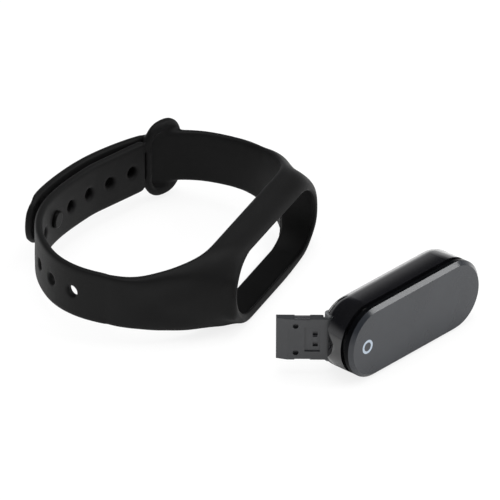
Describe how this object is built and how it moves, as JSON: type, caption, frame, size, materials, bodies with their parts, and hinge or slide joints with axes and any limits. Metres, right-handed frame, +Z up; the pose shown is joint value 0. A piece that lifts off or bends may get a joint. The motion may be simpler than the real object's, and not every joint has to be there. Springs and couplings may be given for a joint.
{
  "type": "fitness tracker band",
  "caption": "Closed silicone wrist strap with stud and keeper loop, and a removable tracker capsule with a fold-out USB charging plug.",
  "frame": {"origin": "centre of the wrist loop, on the plane that the strap's side edge stands on", "axes": "+Z up along the wrist axis, -Y the way the empty capsule frame faces, X along the frame"},
  "size_m": [0.0806, 0.1201, 0.0238],
  "materials": {
    "silicone": "matte",
    "stud_black": "gloss",
    "face_grey": "satin gloss",
    "mark_ink": "matte",
    "adhesive": "matte",
    "display_black": "gloss",
    "flex_amber": "satin",
    "gold": "polished",
    "gloss_black": "gloss",
    "seal_grey": "matte",
    "pcb_green": "satin",
    "chip_black": "matte",
    "steel": "brushed",
    "cell_foil": "satin",
    "foam": "matte",
    "lens": "clear, dark tint",
    "plug_black": "satin",
    "bracket_grey": "satin"
  },
  "bodies": {
    "band": {"band_strap": "silicone"},
    "tail": {"strap_tail": "silicone", "stud": "stud_black", "stud_cap": "stud_black"},
    "tail_tip": {"strap_tail_tip": "silicone"},
    "capsule": {"touch_glass": "face_grey", "touch_key_mark": "mark_ink", "glass_adhesive": "adhesive", "display_panel": "display_black", "display_flex": "flex_amber", "touch_electrode": "gold", "front_housing": "gloss_black", "back_housing": "gloss_black", "housing_seal": "seal_grey", "main_pcb": "pcb_green", "pcb_chips": "chip_black", "pcb_screws": "steel", "antenna": "gold", "battery": "cell_foil", "battery_pad": "foam", "motor_case": "steel", "motor_cover": "steel", "heart_sensor_board": "pcb_green", "sensor_window": "lens", "usb_flex": "flex_amber", "hinge_pin": "steel", "detent_springs": "steel"},
    "plug": {"plug_body": "plug_black", "plug_hinge_bracket": "bracket_grey", "plug_stiffener": "steel", "plug_contacts": "gold"},
    "vibration_rotor": {"motor_rotor": "steel"}
  },
  "joints": [
    {"name": "capsule_dock", "type": "hinge", "parent": "band", "child": "capsule", "pos_m": [-0.1459, -0.01086, 0.01543], "axis": [0.02, -0.0465, 0.9987], "range_deg": [-28, 17.7]},
    {"name": "plug_fold", "type": "hinge", "parent": "capsule", "child": "plug", "pos_m": [-0.03056, -0.05909, 0.01024], "axis": [-0.0151, -0.0039, -0.9999], "range_deg": [-48, 132]},
    {"name": "tail_peel", "type": "hinge", "parent": "band", "child": "tail", "pos_m": [0.029, 0.0223, 0.0118], "axis": [0, 0, -1], "range_deg": [0, 45]},
    {"name": "tail_tip_lift", "type": "hinge", "parent": "tail", "child": "tail_tip", "pos_m": [-0.013, 0.0345, 0.0118], "axis": [0, 0, -1], "range_deg": [0, 35]},
    {"name": "motor_spin", "type": "hinge", "parent": "capsule", "child": "vibration_rotor", "pos_m": [0.00687, -0.07438, 0.00974], "axis": [0.3036, 0.9528, -0.0083], "continuous": true}
  ]
}
